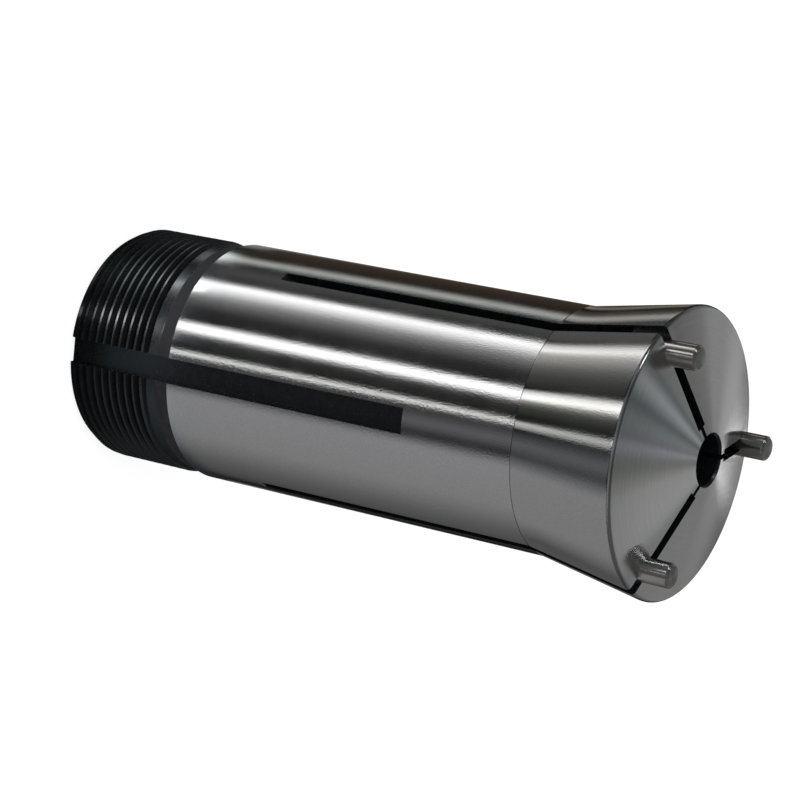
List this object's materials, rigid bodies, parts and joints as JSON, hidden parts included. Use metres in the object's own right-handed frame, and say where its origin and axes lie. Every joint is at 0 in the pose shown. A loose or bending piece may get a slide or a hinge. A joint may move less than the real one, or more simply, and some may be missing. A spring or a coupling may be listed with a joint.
{
  "type": "emergency collet",
  "caption": "Split spring collet with a solid tapered nose for its user to bore to size, a keyed shank, a threaded rear end, and loose spacer pins across its slots.",
  "frame": {"origin": "centre of the rear, threaded face", "axes": "+Z along the bore, towards the nose; -Y through the middle of the keyway; +Y through the slot opposite it"},
  "size_m": [0.0368, 0.0368, 0.0879],
  "materials": {
    "collet_steel": "ground shank and head, turned nose, black oxide on the tail and inside",
    "pin_steel": "ground and polished dowel steel"
  },
  "bodies": {
    "root": {"collet_body": "collet_steel", "spacer_pin_1": "pin_steel", "spacer_pin_2": "pin_steel", "spacer_pin_3": "pin_steel"}
  },
  "joints": []
}
